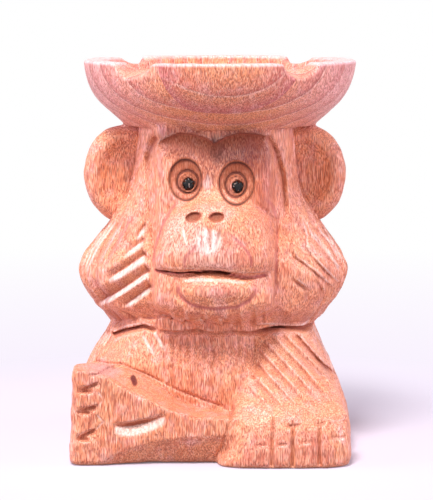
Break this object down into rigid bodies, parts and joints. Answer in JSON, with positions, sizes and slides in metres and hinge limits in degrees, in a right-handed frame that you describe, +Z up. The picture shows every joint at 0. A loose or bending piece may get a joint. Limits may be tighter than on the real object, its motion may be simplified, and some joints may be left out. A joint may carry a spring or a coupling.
{
  "type": "carved monkey figure with a dish",
  "caption": "Squatting monkey carved in light wood, carrying a shallow round dish with a notched rim on its head, used as an ashtray.",
  "frame": {"origin": "middle of the bounding box, on the table", "axes": "+Z up, the monkey faces -Y, +X to the right of a person who faces it"},
  "size_m": [0.0874, 0.0842, 0.12],
  "materials": {
    "carved_wood": "satin, hand carved",
    "black_pupil": "black"
  },
  "bodies": {
    "root": {"dish": "carved_wood", "head": "carved_wood", "muzzle": "carved_wood", "jaw": "carved_wood", "ear_left": "carved_wood", "ear_right": "carved_wood", "mane_left": "carved_wood", "mane_right": "carved_wood", "torso": "carved_wood", "haunch_left": "carved_wood", "haunch_right": "carved_wood", "foot_left": "carved_wood", "foot_right": "carved_wood", "pupil_left": "black_pupil", "pupil_right": "black_pupil"}
  },
  "joints": []
}
